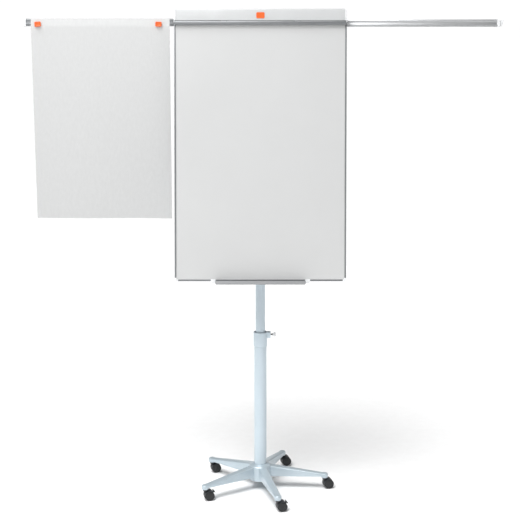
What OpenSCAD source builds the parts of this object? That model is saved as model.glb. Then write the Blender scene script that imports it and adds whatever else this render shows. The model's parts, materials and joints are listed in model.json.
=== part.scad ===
// Mobile flipchart easel: a leaning whiteboard on a telescopic post with a
// five-legged castor base, a pad clamp, a pen tray and two pull-out display arms.
// The origin is on the post axis at floor level, +Z up, the board faces -Y.

/* [Board] */
// Width over the side trims
board_w = 700; // [500:1:900]
// Height from the lower trim to the top of the header, along the board
board_h = 1104.5; // [700:1:1400]
// Backward lean of the board in degrees
board_lean = 9; // [0:1:15]
// Height of the lower front edge above the floor
board_z = 931; // [850:0.5:1100]
// Distance of the lower front edge in front of the post axis
board_reach = 108.5; // [95:0.5:140]
// Thickness of the enamelled steel writing sheet
sheet_t = 0.7; // [0.4:0.1:1.5]
// Thickness of the core panel
core_t = 11.3; // [8:0.1:20]
// Thickness of the steel sheet on the back
backing_t = 0.5; // [0.3:0.1:1]
// Visible width of the side trims
side_trim_w = 7; // [5:0.5:15]
// Visible height of the lower trim
low_trim_h = 7; // [4:0.5:12]
// Wall of the trim channels
trim_wall = 1.2; // [0.8:0.1:2]
// Length of a corner cap along each edge
corner_l = 14; // [10:1:25]
// Outer radius of a corner cap
corner_r = 6; // [3:0.5:10]

/* [Header and pad clamp] */
// Height of the header cover
header_h = 48.2; // [35:0.1:80]
// Distance from the writing sheet to the front of the header
header_front = 12; // [10:0.5:20]
// Wall of the header cover
header_wall = 2; // [1.5:0.1:3]
// Length of a header end cap
header_end_l = 7.2; // [5:0.1:12]
// Height of the pad clamp bar
clamp_h = 17.2; // [16:0.1:26]
// Gap between the clamp bar and the header above it
clamp_gap = 0.6; // [0.5:0.1:2]
// Radius of the clamp bar's convex front
clamp_face_r = 17.5; // [15:0.5:30]
// Wall of the clamp bar
clamp_wall = 1.8; // [1.2:0.1:3]
// Diameter of the clamp hinge rod
rod_d = 3.2; // [3:0.1:3.6]
// Distance of each clamp spring from the middle
spring_x = 150; // [80:1:220]
// Diameter of a pad peg
peg_d = 6; // [4:0.5:6]
// Length of a pad peg in front of the writing sheet
peg_l = 7; // [5:0.5:7.5]
// Distance of each pad peg from the middle
peg_x = 225; // [180:1:260]

/* [Badge] */
// Width of the badge
badge_w = 33.5; // [20:0.5:60]
// Height of the badge
badge_h = 24.4; // [15:0.1:35]

/* [Pen tray] */
// Outer width of the tray
tray_w = 366; // [200:1:500]
// Depth of the tray in front of the writing sheet
tray_d = 53; // [35:1:80]
// Height of the tray's front wall
tray_h = 14.5; // [10:0.5:25]
// Height of the tray's rim above the board's lower edge
tray_rim = 3.7; // [1:0.1:6]
// Wall of the tray
tray_wall = 1.8; // [1.2:0.1:3]
// Width of a tray clip
clip_w = 19.4; // [12:0.1:30]

/* [Display arms] */
// Length of an arm's profile
arm_l = 690; // [400:1:700]
// Distance from the middle to the outer end of the left arm, pulled out
left_reach = 956; // [800:1:980]
// Distance from the middle to the outer end of the right arm, pulled out
right_reach = 969.5; // [800:0.5:980]
// Height of the arm profile
arm_h = 30; // [26:1:40]
// Depth of the arm profile
arm_d = 12; // [11:0.5:16]
// Wall of the arm profile
arm_wall = 1.6; // [1.2:0.1:2]
// Distance from the writing sheet back to the front arm's face
arm_face = 30; // [28:0.5:45]
// Running gap between an arm and its rail
arm_gap = 0.3; // [0.2:0.05:0.6]
// Thickness of an arm rail
rail_t = 3.5; // [2.5:0.1:5]
// Height of the arms' lower edge above the clamp bar's
arm_rise = 2; // [0:0.5:5]
// Thickness of the flange on an arm grip
grip_flange = 11.5; // [6:0.5:15]
// Length of the tab on an arm grip
grip_tab = 15.5; // [8:0.5:20]
// Width of a rail hanger
hanger_w = 30; // [28:1:40]

/* [Paper and magnets] */
// Width of the hanging sheet
paper_w = 566; // [300:1:580]
// Length of the sheet below the arm's lower edge
paper_drop = 793; // [300:1:860]
// Middle of the sheet, measured from the middle of the board
paper_x = 653; // [640:1:670]
// Thickness of the sheet's solid
paper_t = 1; // [0.5:0.1:2]
// Width of a magnet
magnet_w = 25.5; // [15:0.5:35]
// Height of a magnet
magnet_h = 19.5; // [12:0.5:28]
// Thickness of a magnet
magnet_t = 8; // [4:0.5:9]

/* [Post] */
// Outer diameter of the lower tube
low_tube_d = 52; // [45:0.5:65]
// Wall of the lower tube
low_tube_wall = 2; // [1.5:0.1:3]
// Top of the lower tube
low_tube_top = 664; // [550:1:700]
// Outer diameter of the upper tube
up_tube_d = 40; // [32:0.5:42]
// Wall of the upper tube
up_tube_wall = 1.5; // [1.2:0.1:3]
// Lower end of the upper tube
up_tube_bottom = 350; // [320:1:450]
// Upper end of the upper tube
up_tube_top = 1320; // [1250:1:1330]
// Radial running clearance of each sliding guide
slide_fit = 0.075; // [0.03:0.005:0.1]
// Outer diameter of the clamp collar
collar_d = 58; // [56:0.5:75]
// Height of the clamp collar
collar_h = 63; // [50:1:80]
// Height of the collar above the lower tube's end
collar_over = 26.5; // [24:0.5:35]
// Diameter of the clamp screw
screw_d = 6; // [5:0.5:8]
// Distance from the post axis to the outer end of the wing knob
knob_reach = 65.7; // [60:0.1:90]
// Span of the wing knob
knob_span = 21.5; // [16:0.5:30]

/* [Base] */
// Radius from the post axis to each castor stem
base_r = 276; // [220:1:350]
// Direction of the first leg in degrees
base_turn = -3; // [-36:0.5:36]
// Radius of the hub
hub_r = 48; // [42:1:60]
// Underside of the hub
hub_z = 40; // [36:1:60]
// Top of the hub beside the tube
hub_top = 110; // [90:0.5:140]
// Drop of the hub's top from the tube to its rim
hub_drop = 9; // [4:0.5:15]
// Width of a leg at the hub
leg_w = 38; // [28:1:45]
// Width of a leg at its tip
tip_w = 29; // [20:0.5:30]
// Underside of a leg
leg_z = 55.5; // [50:0.5:60]
// Top of a leg at its tip
tip_top = 67.5; // [62:0.5:80]
// Underside of the castor boss at the tip
boss_z = 48.5; // [47:0.5:52]
// Wall of a leg
leg_wall = 3.2; // [2.5:0.1:5]

/* [Castors] */
// Wheel diameter
wheel_d = 40; // [36:0.5:41]
// Width over both wheels
castor_w = 38; // [32:0.5:44]
// Width of one wheel
wheel_w = 12.1; // [9:0.1:14]
// Distance from the stem to the axle
trail = 17.7; // [14:0.1:22]
// Direction in which every castor trails, in degrees
heading = 14; // [-180:1:180]
// Axle diameter
axle_d = 6; // [4:0.5:8]
// Stem diameter in the leg
stem_d = 11; // [8:0.5:13]

/* [Hidden] */
CASTORS = ["right", "front", "left_front", "left_rear", "right_rear"];
BRAKED = [1, 2];

$fn = 64;
touch = 0.05;                 // side clearance of pieces that are fixed together
fit = 0.05;                   // radial running clearance of pins and screws
panel_t = sheet_t + core_t + backing_t;
channel_d = panel_t + 0.2;    // inner depth of the trim channels
trim_back = channel_d + trim_wall;
header_low = board_h - header_h;
clamp_top = header_low - clamp_gap;
clamp_low = clamp_top - clamp_h;
panel_top = clamp_low + 1.5;  // the panel ends behind the clamp bar
rail_d = 14;                  // depth of the top rail
head_r = rod_d / 2 + 2;       // round head of the clamp bar
pivot_d = -8;                 // hinge rod, in front of the writing sheet
pivot_w = clamp_top - head_r;
peg_gap = 0.2;                // clear height between a pad peg and the clamp bar's head
peg_w = pivot_w - head_r - peg_gap - peg_d / 2;  // height of the peg groove's centre line
arm_w = clamp_low + arm_rise + arm_h / 2;  // height of the arms' centre line
arm_pitch = arm_d + 6;        // from the front arm back to the rear arm
half = board_w / 2;
inset = half - trim_wall - 0.3;   // half width of the panel
paper_gap = 0.04;             // between the arm's face, the sheet and the magnets
collar_top = low_tube_top + collar_over;
collar_low = collar_top - collar_h;
screw_z = collar_top - 11.7;
ear_reach = 43;               // outer face of the collar's ear
bush_flange_h = collar_over - 7;
low_tube_in = low_tube_d / 2 - low_tube_wall;
plug_h = 26;                  // length of the guide plug and foot plug
floor_t = 6;                  // floor of the hub under the tube
leg_step = 360 / len(CASTORS);
tip_r = tip_w / 2;
wheel_r = wheel_d / 2;
hood_in = wheel_r + 0.8;
hood_out = wheel_r + 2.6;
web_t = 8;                    // castor web between the wheels
stem_pin_d = 7;               // lower end of a castor stem
brake_at = 42;                // angle of the brake pivot about the axle
brake_r = 15.5;               // radius of the brake pivot about the axle
brake_pin_d = 3;
cross_w = [140, 375];         // heights of the cross rails on the board
cross_h = 30;
cross_d = 8;
cross_t = 1.2;
bracket_t = 2.5;
bracket_w = 84;
bracket_span = [115, 398];
bolt_d = 8;
bolt_z = [1085, 1270];

// ---- Helpers --------------------------------------------------------------

// The board's own frame: x across, y back from the writing sheet, z up along it
module on_board()
    translate([0, -board_reach, board_z]) rotate([-board_lean, 0, 0]) children();

// Extrude a profile drawn as (depth, height) across the board, centred on x = 0
module across(length)
    translate([-length / 2, 0, 0]) rotate([90, 0, 90]) linear_extrude(length) children();

// Extrude a profile drawn as (depth, height) from x0 to x1
module across_span(x0, x1) translate([(x0 + x1) / 2, 0, 0]) across(x1 - x0) children();

// Extrude a profile drawn as (x, height) from depth y0 to y1
module along_depth(y0, y1)
    translate([0, y1, 0]) rotate([90, 0, 0]) linear_extrude(y1 - y0) children();

module block(x, y, z) translate([x[0], y[0], z[0]]) cube([x[1] - x[0], y[1] - y[0], z[1] - z[0]]);

module rect(x, y) translate([x[0], y[0]]) square([x[1] - x[0], y[1] - y[0]]);

// Rectangle with four round corners, made of squares and circles
module round_rect(w, h, r) {
    square([w - 2 * r, h], center = true);
    square([w, h - 2 * r], center = true);
    for (sx = [-1, 1], sy = [-1, 1]) translate([sx * (w / 2 - r), sy * (h / 2 - r)]) circle(r);
}

module ring(outer, inner) difference() { circle(outer); circle(inner); }

// Sector of a ring between two angles
module sector(outer, inner, a0, a1) intersection() {
    ring(outer, inner);
    polygon(concat([[0, 0]], [for (i = [0:6]) let (a = a0 + (a1 - a0) * i / 6)
        2 * outer * [cos(a), sin(a)]]));
}

module hex(across_flats) circle(d = across_flats / cos(30), $fn = 6);

module mirrored(side) mirror([side < 0 ? 1 : 0, 0, 0]) children();

// ---- Base -----------------------------------------------------------------

function leg_angle(i) = base_turn - leg_step * i;

// Cross section of a leg with round upper edges, as a thin slab
module leg_slab(w, z0, z1, r) rotate([90, 0, 90]) linear_extrude(0.5) {
    rect([-w / 2, w / 2], [z0, z1 - r]);
    rect([-w / 2 + r, w / 2 - r], [z0, z1]);
    for (s = [-1, 1]) translate([s * (w / 2 - r), z1 - r]) circle(r, $fn = 24);
}

module leg_shell() {
    rim_z = hub_top - hub_drop;
    hull() {
        translate([hub_r - 14, 0, 0]) leg_slab(leg_w, leg_z, rim_z + 1, 5);
        translate([base_r, 0, leg_z]) cylinder(r = tip_r, h = tip_top - leg_z - 4, $fn = 32);
        translate([base_r, 0, leg_z]) cylinder(r = tip_r - 4, h = tip_top - leg_z, $fn = 32);
    }
    translate([base_r, 0, boss_z]) cylinder(r = tip_r - 0.6, h = tip_top - boss_z - 5);
}

// Ribbed hollow under a leg: three cells with a roof that follows the leg's top
module leg_cells() {
    rim_z = hub_top - hub_drop;
    r0 = hub_r + 6;
    r1 = base_r - tip_r - 6;
    slope = (rim_z - tip_top) / (base_r - hub_r);
    rib = 3;
    cell = (r1 - r0 - 2 * rib) / 3;
    roof = function (r) rim_z - slope * (r - hub_r) - leg_wall - 1.5;
    half_w = function (r) (leg_w + (tip_w - leg_w) * (r - hub_r) / (base_r - hub_r)) / 2 - leg_wall;
    for (i = [0:2]) {
        a = r0 + i * (cell + rib);
        b = a + cell;
        intersection() {
            along_depth(-leg_w, leg_w) polygon([[a, leg_z - 5], [b, leg_z - 5], [b, roof(b)], [a, roof(a)]]);
            linear_extrude(hub_top) polygon([[a, -half_w(a)], [b, -half_w(b)], [b, half_w(b)], [a, half_w(a)]]);
        }
    }
}

module star_base() color("#b4c4cd") difference() {
    union() {
        rotate_extrude() polygon([[0, hub_z], [hub_r - 2, hub_z], [hub_r, hub_z + 2],
            [hub_r, hub_top - hub_drop - 3], [hub_r - 3, hub_top - hub_drop],
            [low_tube_d / 2 + 2, hub_top], [0, hub_top]]);
        for (i = [0:4]) rotate(leg_angle(i)) leg_shell();
    }
    translate([0, 0, hub_z + floor_t]) cylinder(d = low_tube_d + 2 * touch, h = hub_top);
    translate([0, 0, hub_z - 1]) cylinder(d = 10.4, h = floor_t + 2);
    for (i = [0:4]) rotate(leg_angle(i)) {
        leg_cells();
        translate([base_r, 0, boss_z - 1]) cylinder(d = stem_d, h = tip_top - boss_z - 2.5);
    }
}

module lower_post() color("#d2dde4") translate([0, 0, hub_z + floor_t])
    difference() {
        cylinder(d = low_tube_d, h = low_tube_top - hub_z - floor_t);
        translate([0, 0, -1]) cylinder(r = low_tube_in, h = low_tube_top);
    }

module post_foot_plug() color("#8a9096") translate([0, 0, hub_z + floor_t]) difference() {
    cylinder(r = low_tube_in - touch, h = plug_h);
    translate([0, 0, -1]) cylinder(d = 10 + 2 * touch, h = plug_h + 2);
}

// Hex bolt from under the hub into the foot plug, with its washer
module base_bolt() color("#9aa0a6") {
    translate([0, 0, hub_z - 7]) linear_extrude(5.5) hex(17);
    translate([0, 0, hub_z - 1.5]) difference() { cylinder(d = 22, h = 1.5); cylinder(d = 10.2, h = 4, center = true); }
    translate([0, 0, hub_z - 1.5]) cylinder(d = 10, h = floor_t + plug_h);
}

// ---- Clamp collar ---------------------------------------------------------

module post_collar() color("#d9e2e8") difference() {
    union() {
        rotate_extrude() polygon(concat(
            [[low_tube_d / 2 - 1, collar_low], [low_tube_d / 2 + 0.5, collar_low]],
            [for (a = [-90:15:0]) let (r = collar_d / 2 - low_tube_d / 2 - 0.5)
                [collar_d / 2 - r + r * cos(a), collar_low + 2 * r + 2 * r * sin(a)]],
            [[collar_d / 2, collar_top - 1.5], [collar_d / 2 - 1.5, collar_top], [low_tube_d / 2 - 1, collar_top]]));
        translate([collar_d / 2 - 8, 0, collar_top - 13]) rotate([0, 90, 0])
            linear_extrude(ear_reach - collar_d / 2 + 8) round_rect(26, 22, 4);
    }
    translate([0, 0, collar_low - 1]) cylinder(r = low_tube_d / 2 - 1.8, h = collar_h + 2);
    translate([0, 0, collar_low - 1]) cylinder(d = low_tube_d + 2 * touch, h = low_tube_top + bush_flange_h - collar_low + 1);
    translate([20, 0, screw_z]) rotate([0, 90, 0]) cylinder(d = screw_d + 2 * fit, h = 40);
    block([collar_d / 2 + 1.5, collar_d / 2 + 7], [-5.3, 5.3], [screw_z - 5.3, collar_top + 1]);
}

// Split plastic sleeve that centres the upper tube and takes the screw's push
module collar_bush() color("#3c4043") difference() {
    union() {
        translate([0, 0, low_tube_top - 50]) cylinder(r = low_tube_in - touch, h = 51);
        translate([0, 0, low_tube_top]) cylinder(d = low_tube_d, h = bush_flange_h);
    }
    translate([0, 0, low_tube_top - 60]) cylinder(d = up_tube_d + 2 * slide_fit, h = 120);
    block([-low_tube_d, -5], [-1, 1], [low_tube_top - 60, low_tube_top + 40]);
}

module clamp_nut() color("#9aa0a6") difference() {
    block([collar_d / 2 + 1.75, collar_d / 2 + 6.75], [-5, 5], [screw_z - 5, screw_z + 5]);
    translate([20, 0, screw_z]) rotate([0, 90, 0]) cylinder(d = screw_d + 2 * fit, h = 40);
}

module clamp_screw() color("#55595d") {
    translate([low_tube_d / 2 + 0.2, 0, screw_z]) rotate([0, 90, 0]) cylinder(d = screw_d, h = knob_reach - 4 - low_tube_d / 2);
    translate([ear_reach + 5.5, 0, screw_z]) rotate([0, 90, 0]) cylinder(d = screw_d + 3, h = 3);
}

// Two-lobed wing moulded on the screw's outer end
module wing_knob() color("#dfe6ea") difference() {
    translate([ear_reach + 8.5, 0, screw_z]) rotate([0, 90, 0]) {
        cylinder(d = screw_d + 5, h = knob_reach - ear_reach - 8.5);
        linear_extrude(knob_reach - ear_reach - 8.5 - 2) for (s = [-1, 1])
            translate([s * (knob_span / 2 - 5), 0]) circle(5);
        linear_extrude(knob_reach - ear_reach - 8.5 - 2) square([knob_span - 10, 6], center = true);
    }
    translate([0, 0, screw_z]) rotate([0, 90, 0]) cylinder(d = screw_d, h = knob_reach - 3.8);
}

// ---- Castors --------------------------------------------------------------

module at_castor(i) rotate(leg_angle(i)) translate([base_r, 0, 0]) rotate(heading - leg_angle(i)) children();

// Extrude a profile drawn about the axle across the castor
module castor_across(y0, y1) translate([trail, 0, wheel_r]) along_depth(y0, y1) children();

function braked(i) = len(search(i, BRAKED)) > 0;

module castor_stems() color("#9aa0a6") for (i = [0:4]) at_castor(i) {
    translate([0, 0, boss_z]) cylinder(d = stem_d, h = tip_top - boss_z - 4.5);
    translate([0, 0, boss_z - 1.2]) cylinder(d = stem_d + 4, h = 1.2);
    translate([0, 0, boss_z - 17]) cylinder(d = stem_pin_d, h = 17);
}

module castor_housing(i) color("#2e3234") at_castor(i) difference() {
    union() {
        castor_across(-web_t / 2, web_t / 2) {
            circle(15);
            sector(hood_out, 10, 62, 196);
        }
        castor_across(-castor_w / 2, castor_w / 2) sector(hood_out, hood_in, 62, 196);
        translate([0, 0, 14]) cylinder(r = 6, h = boss_z - 1.5 - 14);
        translate([0, 0, wheel_d + 0.9]) cylinder(r = 9.5, h = boss_z - 1.5 - wheel_d - 0.9);
        if (braked(i)) castor_across(-1.8, 1.8)
            translate(brake_r * [cos(brake_at), sin(brake_at)]) circle(4);
        if (braked(i)) castor_across(-5.6, 5.6)
            translate(brake_r * [cos(brake_at), sin(brake_at)]) circle(d = brake_pin_d);
    }
    castor_across(-castor_w, castor_w) circle(d = axle_d + 2 * fit);
    translate([0, 0, boss_z - 18]) cylinder(d = stem_pin_d + 2 * fit, h = 30);
    if (braked(i)) for (s = [-1, 1]) castor_across(s > 0 ? 1.8 : -7, s > 0 ? 7 : -1.8)
        translate(brake_r * [cos(brake_at), sin(brake_at)]) ring(7.5, brake_pin_d / 2);
}

// Two wheels on their axle, which turn together
module castor_wheels(i) color("#26292b") at_castor(i) {
    for (s = [-1, 1]) translate([trail, 0, wheel_r]) rotate([s * 90, 0, 0])
        translate([0, 0, castor_w / 2 - 0.4 - wheel_w]) rotate_extrude() polygon([
            [axle_d / 2, 0], [wheel_r - 1, 0], [wheel_r, 1], [wheel_r, wheel_w - 2.5],
            [wheel_r - 0.8, wheel_w - 0.8], [wheel_r - 2.6, wheel_w], [wheel_r - 4.6, wheel_w],
            [wheel_r - 5.4, wheel_w - 0.9], [6, wheel_w - 0.9], [5, wheel_w], [axle_d / 2, wheel_w]]);
    castor_across(-castor_w / 2 + 0.4, castor_w / 2 - 0.4) circle(d = axle_d);
}

// Foot lever on the two braked castors
module castor_brake(i) color("#1f2224") at_castor(i) difference() {
    union() {
        for (s = [-1, 1]) castor_across(s > 0 ? 2.1 : -5.6, s > 0 ? 5.6 : -2.1) intersection() {
            union() {
                translate(brake_r * [cos(brake_at), sin(brake_at)]) circle(3.6);
                rotate(brake_at) rect([brake_r, hood_out + 3.4], [-3, 3]);
            }
            circle(hood_out + 3.4);
        }
        castor_across(-9, 9) sector(hood_out + 5.4, hood_out + 2.2, brake_at - 14, brake_at + 16);
    }
    castor_across(-6, 6) translate(brake_r * [cos(brake_at), sin(brake_at)]) circle(d = brake_pin_d + 2 * fit);
}

// ---- Upper post and board bracket -----------------------------------------

module bolt_holes() for (z = bolt_z) translate([0, 0, z]) rotate([0, 90, 0])
    cylinder(d = bolt_d + 0.2, h = 100, center = true);

module upper_post() color("#c3d0d8") difference() {
    translate([0, 0, up_tube_bottom]) cylinder(d = up_tube_d, h = up_tube_top - up_tube_bottom);
    translate([0, 0, up_tube_bottom - 1]) cylinder(d = up_tube_d - 2 * up_tube_wall, h = up_tube_top);
    bolt_holes();
}

module post_guide_plug() color("#3c4043") {
    translate([0, 0, up_tube_bottom - 8]) cylinder(r = low_tube_in - slide_fit, h = 8);
    translate([0, 0, up_tube_bottom - 1]) cylinder(d = up_tube_d - 2 * up_tube_wall - 2 * touch, h = plug_h);
}

module post_top_cap() color("#3c4043") {
    translate([0, 0, up_tube_top]) cylinder(d1 = up_tube_d, d2 = up_tube_d - 3, h = 3);
    translate([0, 0, up_tube_top - 18]) cylinder(d = up_tube_d - 2 * up_tube_wall - 2 * touch, h = 18.5);
}

// Wedge-shaped channel: its web lies on the cross rails, its cheeks hold the post
module board_bracket() color("#b9c6ce") difference() {
    on_board() {
        web = trim_back + cross_d;
        block([-bracket_w / 2, bracket_w / 2], [web, web + bracket_t], bracket_span);
        rear = function (w) (14 + board_reach - w * sin(board_lean)) / cos(board_lean);
        for (s = [-1, 1]) translate([s * (up_tube_d / 2 + 0.2 + bracket_t / 2), 0, 0]) across(bracket_t)
            polygon([[web, bracket_span[0]], [rear(bracket_span[0]), bracket_span[0] + 14],
                [rear(bracket_span[1]), bracket_span[1]], [web, bracket_span[1]]]);
    }
    bolt_holes();
    on_board() for (s = [-1, 1], w = cross_w) translate([s * 33, 0, w]) rotate([-90, 0, 0]) cylinder(d = 5.4, h = 60);
}

module bracket_bolts() color("#9aa0a6") for (z = bolt_z) translate([0, 0, z]) rotate([0, 90, 0]) {
    face = up_tube_d / 2 + 0.2 + bracket_t;
    translate([0, 0, -face]) cylinder(d = bolt_d, h = 2 * face + 9);
    translate([0, 0, -face - 5.3]) linear_extrude(5.3) hex(13);
    translate([0, 0, face]) linear_extrude(6.5) difference() { hex(13); circle(d = bolt_d); }
}

module bracket_screws() color("#9aa0a6") on_board() for (s = [-1, 1], w = cross_w)
    translate([s * 33, trim_back + cross_d + bracket_t, w]) rotate([-90, 0, 0]) {
        cylinder(d = 9.5, h = 2.6);
        translate([0, 0, -bracket_t - cross_t - 2]) cylinder(d = 5, h = bracket_t + cross_t + 2);
    }

module cross_rail(w) color("#aeb6bb") on_board() difference() {
    block([-half + 2, half - 2], [trim_back, trim_back + cross_d], [w - cross_h / 2, w + cross_h / 2]);
    block([-half - 2, half + 2], [trim_back - 1, trim_back + cross_d - cross_t],
        [w - cross_h / 2 + cross_t, w + cross_h / 2 - cross_t]);
    for (s = [-1, 1]) translate([s * 33, 0, w]) rotate([-90, 0, 0]) cylinder(d = 5 + 2 * fit, h = 60);
}
module lower_cross_rail() cross_rail(cross_w[0]);
module upper_cross_rail() cross_rail(cross_w[1]);

// ---- Board panel and trims ------------------------------------------------

module panel_layer(y0, y1) on_board() block([-inset, inset], [y0, y1], [trim_wall + 0.3, panel_top]);
module writing_sheet() color("#f2f3f4") panel_layer(0, sheet_t);
module core_panel() color("#c9b28a") panel_layer(sheet_t, sheet_t + core_t);
module backing_sheet() color("#b9bdc0") panel_layer(sheet_t + core_t, panel_t);

// U-shaped edge trim that holds the panel's side
module side_trim(side) color("#a9aeb2") on_board() mirrored(side) difference() {
    block([half - side_trim_w, half], [-trim_wall, trim_back], [corner_l, clamp_top]);
    block([0, half - trim_wall], [0, channel_d], [corner_l - 1, clamp_top + 1]);
}
module left_trim() side_trim(-1);
module right_trim() side_trim(1);

module lower_trim() color("#a9aeb2") on_board() difference() {
    block([-half + corner_l, half - corner_l], [-trim_wall, trim_back], [0, low_trim_h]);
    block([-half, half], [0, channel_d], [trim_wall, low_trim_h + 1]);
}

// Moulded caps that join the trims at the lower corners
module corner_caps() color("#e8eaea") on_board() for (side = [-1, 1]) mirrored(side) difference() {
    along_depth(-trim_wall - 0.4, trim_back + 0.3) difference() {
        union() {
            rect([half - corner_l, half - corner_r], [0, corner_l]);
            rect([half - corner_l, half], [corner_r, corner_l]);
            translate([half - corner_r, corner_r]) circle(corner_r);
        }
        rect([0, half - side_trim_w], [low_trim_h, board_h]);
    }
    block([0, inset + touch], [0, panel_t + touch], [trim_wall + 0.3 - touch, board_h]);
}

// Extrusion along the top: closes the panel, guides the pegs, carries the header
module top_rail() color("#9aa0a5") on_board() difference() {
    across(2 * inset) difference() {
        union() {
            rect([0, rail_d], [panel_top, board_h - header_wall]);
            rect([panel_t, rail_d], [panel_top - 16, panel_top + 1]);
        }
        rect([-1, 2.5], [peg_w - peg_neck - 0.3, peg_w + peg_neck + 0.3]);
        rect([2, 8], [peg_w - peg_slider - 0.3, peg_w + peg_slider + 0.3]);
        rect([2, rail_d - 2], [peg_w + 7, header_low + 8]);
        rect([2, rail_d - 2], [header_low + 10, board_h - header_wall - 2]);
    }
    for (s = [-1, 1]) mirrored(s)
        block([half - side_trim_w - touch, half], [-1, rail_d + 1], [0, clamp_top + touch]);
    for (x = hanger_x, s = [-1, 1]) translate([x + s * hanger_screw_x, rail_d - 5, hanger_screw_w])
        rotate([-90, 0, 0]) cylinder(d = 4 + 2 * touch, h = 10);
}

module header_outline(grow) {
    top = board_h + grow;
    front = -header_front - grow;
    back = rail_d + header_wall + grow;
    r = 5;
    rect([front + r, back], [header_low, top]);
    rect([front, back], [header_low, top - r]);
    translate([front + r, top - r]) circle(r);
}

module header_cover() color("#e9ebec") on_board() across(board_w - 2 * header_end_l + 6) difference() {
    header_outline(0);
    difference() {
        rect([-header_front + header_wall, rail_d], [header_low - 1, board_h - header_wall]);
        rect([-header_front, -3], [header_low - 1, header_low + header_wall]);
    }
    rect([rail_d - 1, rail_d + 10], [header_low - 1, header_low + 28]);
}

// Cap over the end of the header, with an ear that holds the hinge rod
module header_end(side) color("#dfe3e5") on_board() mirrored(side) difference() {
    end = half + 0.7;
    union() {
        across_span(end - header_end_l, end) header_outline(0.9);
        across_span(end - 3.2, end) translate([pivot_d, pivot_w]) {
            circle(head_r);
            rect([-head_r, head_r], [0, header_low - pivot_w + 1]);
        }
    }
    across_span(end - header_end_l - 1, inset + touch) header_outline(touch);
    across_span(end - 10, end + 1) translate([pivot_d, pivot_w]) circle(d = rod_d);
}
module left_header_end() header_end(-1);
module right_header_end() header_end(1);

module badge() color("#f57c23") on_board() translate([0, 0, header_low + header_h * 0.42])
    along_depth(-header_front - 2, -header_front) round_rect(badge_w, badge_h, 5);

// ---- Pad clamp ------------------------------------------------------------

// Section of the clamp bar: convex shell with a round head on the hinge rod
module clamp_section() {
    mid = (clamp_top + clamp_low) / 2;
    difference() {
        intersection() {
            translate([4, mid]) circle(clamp_face_r);
            rect([-30, -trim_wall - 0.2], [clamp_low, clamp_top - head_r]);
        }
        intersection() {
            translate([4, mid]) circle(clamp_face_r - clamp_wall);
            rect([-30, 0], [clamp_low + clamp_wall, clamp_top]);
        }
    }
    intersection() {
        translate([4, mid]) circle(clamp_face_r);
        rect([-30, pivot_d], [clamp_top - head_r - 3, clamp_top - head_r + 0.5]);
    }
    translate([pivot_d, pivot_w]) circle(head_r);
}

module clamp_bar() color("#a3a7aa") on_board() difference() {
    across(board_w - 6) clamp_section();
    across(board_w) translate([pivot_d, pivot_w]) circle(d = rod_d + 2 * fit);
    for (s = [-1, 1]) translate([s * spring_x, 0, 0]) across(20) translate([pivot_d, pivot_w]) circle(head_r + 0.3);
}

module hinge_rod() color("#9aa0a6") on_board() across(board_w + 0.6)
    translate([pivot_d, pivot_w]) circle(d = rod_d);

// Torsion springs round the rod, in the gaps of the bar's head
coil_r = rod_d / 2 + 1.1;
wire = 1;
coil_turns = 6;
coil_sides = 8;
function coil_ring(t) = let (a = 360 * t, c = [0, coil_r * cos(a), coil_r * sin(a)])
    [for (k = [0:coil_sides - 1]) let (b = 360 * k / coil_sides)
        c + [2.2 * t - 2.2 * coil_turns / 2 + wire / 2 * sin(b),
             wire / 2 * cos(b) * cos(a), wire / 2 * cos(b) * sin(a)]];
module coil() {
    steps = coil_turns * 16;
    rings = [for (i = [0:steps]) each coil_ring(i / 16)];
    n = coil_sides;
    polyhedron(rings, concat(
        [[for (k = [0:n - 1]) k]],
        [for (i = [0:steps - 1], k = [0:n - 1]) let (a = i * n + k, b = i * n + (k + 1) % n)
            [a, a + n, b + n, b]],
        [[for (k = [n - 1:-1:0]) steps * n + k]]));
}
module clamp_springs() color("#c9ccce") on_board()
    for (s = [-1, 1]) translate([s * spring_x, pivot_d, pivot_w]) coil();

peg_slider = 4.1;             // half height of the peg's slider
peg_neck = 2.3;               // half height of the neck in the groove's mouth

// Peg for a pad's punched hole, on a slider in the top rail's groove
module pad_peg(side) color("#2e3234") on_board() translate([side * peg_x, 0, 0]) {
    across(30) rect([2.8, 7.5], [peg_w - peg_slider, peg_w + peg_slider]);
    across(26) rect([-0.3, 3], [peg_w - peg_neck, peg_w + peg_neck]);
    translate([0, -0.3, peg_w]) rotate([90, 0, 0]) cylinder(d = peg_d, h = peg_l - 0.3);
}
module left_pad_peg() pad_peg(-1);
module right_pad_peg() pad_peg(1);

// ---- Pen tray -------------------------------------------------------------

tray_low = tray_rim - tray_h;
tray_back = -trim_wall - 0.1; // the tray stands in front of the lower trim and reaches under it
tray_pin = [4, -5.5];         // depth and height of the pins that carry the tray
module pen_tray() color("#8f9497") on_board() difference() {
    inner = tray_w / 2 - tray_wall;
    along_depth(-tray_d, 11) {
        rect([-tray_w / 2, tray_w / 2], [tray_low + 6, tray_rim]);
        rect([-tray_w / 2 + 6, tray_w / 2 - 6], [tray_low, tray_rim]);
        for (s = [-1, 1]) translate([s * (tray_w / 2 - 6), tray_low + 6]) circle(6);
    }
    block([-inner, inner], [-tray_d + tray_wall, tray_back - 1.4], [tray_low + tray_wall, tray_rim + 1]);
    block([-inner, inner], [tray_back - 2, tray_back + 1], [1, tray_rim + 1]);
    block([-tray_w, tray_w], [tray_back, 20], [-0.1, tray_rim + 1]);
    block([-inner, inner], [tray_back + 0.1, 12], [tray_low + tray_wall, -2.2]);
    for (s = [-1, 1]) translate([s * tray_w / 2, tray_pin[0], tray_pin[1]]) rotate([0, 90, 0])
        cylinder(d = 4 + 2 * touch, h = 10, center = true);
}

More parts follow.
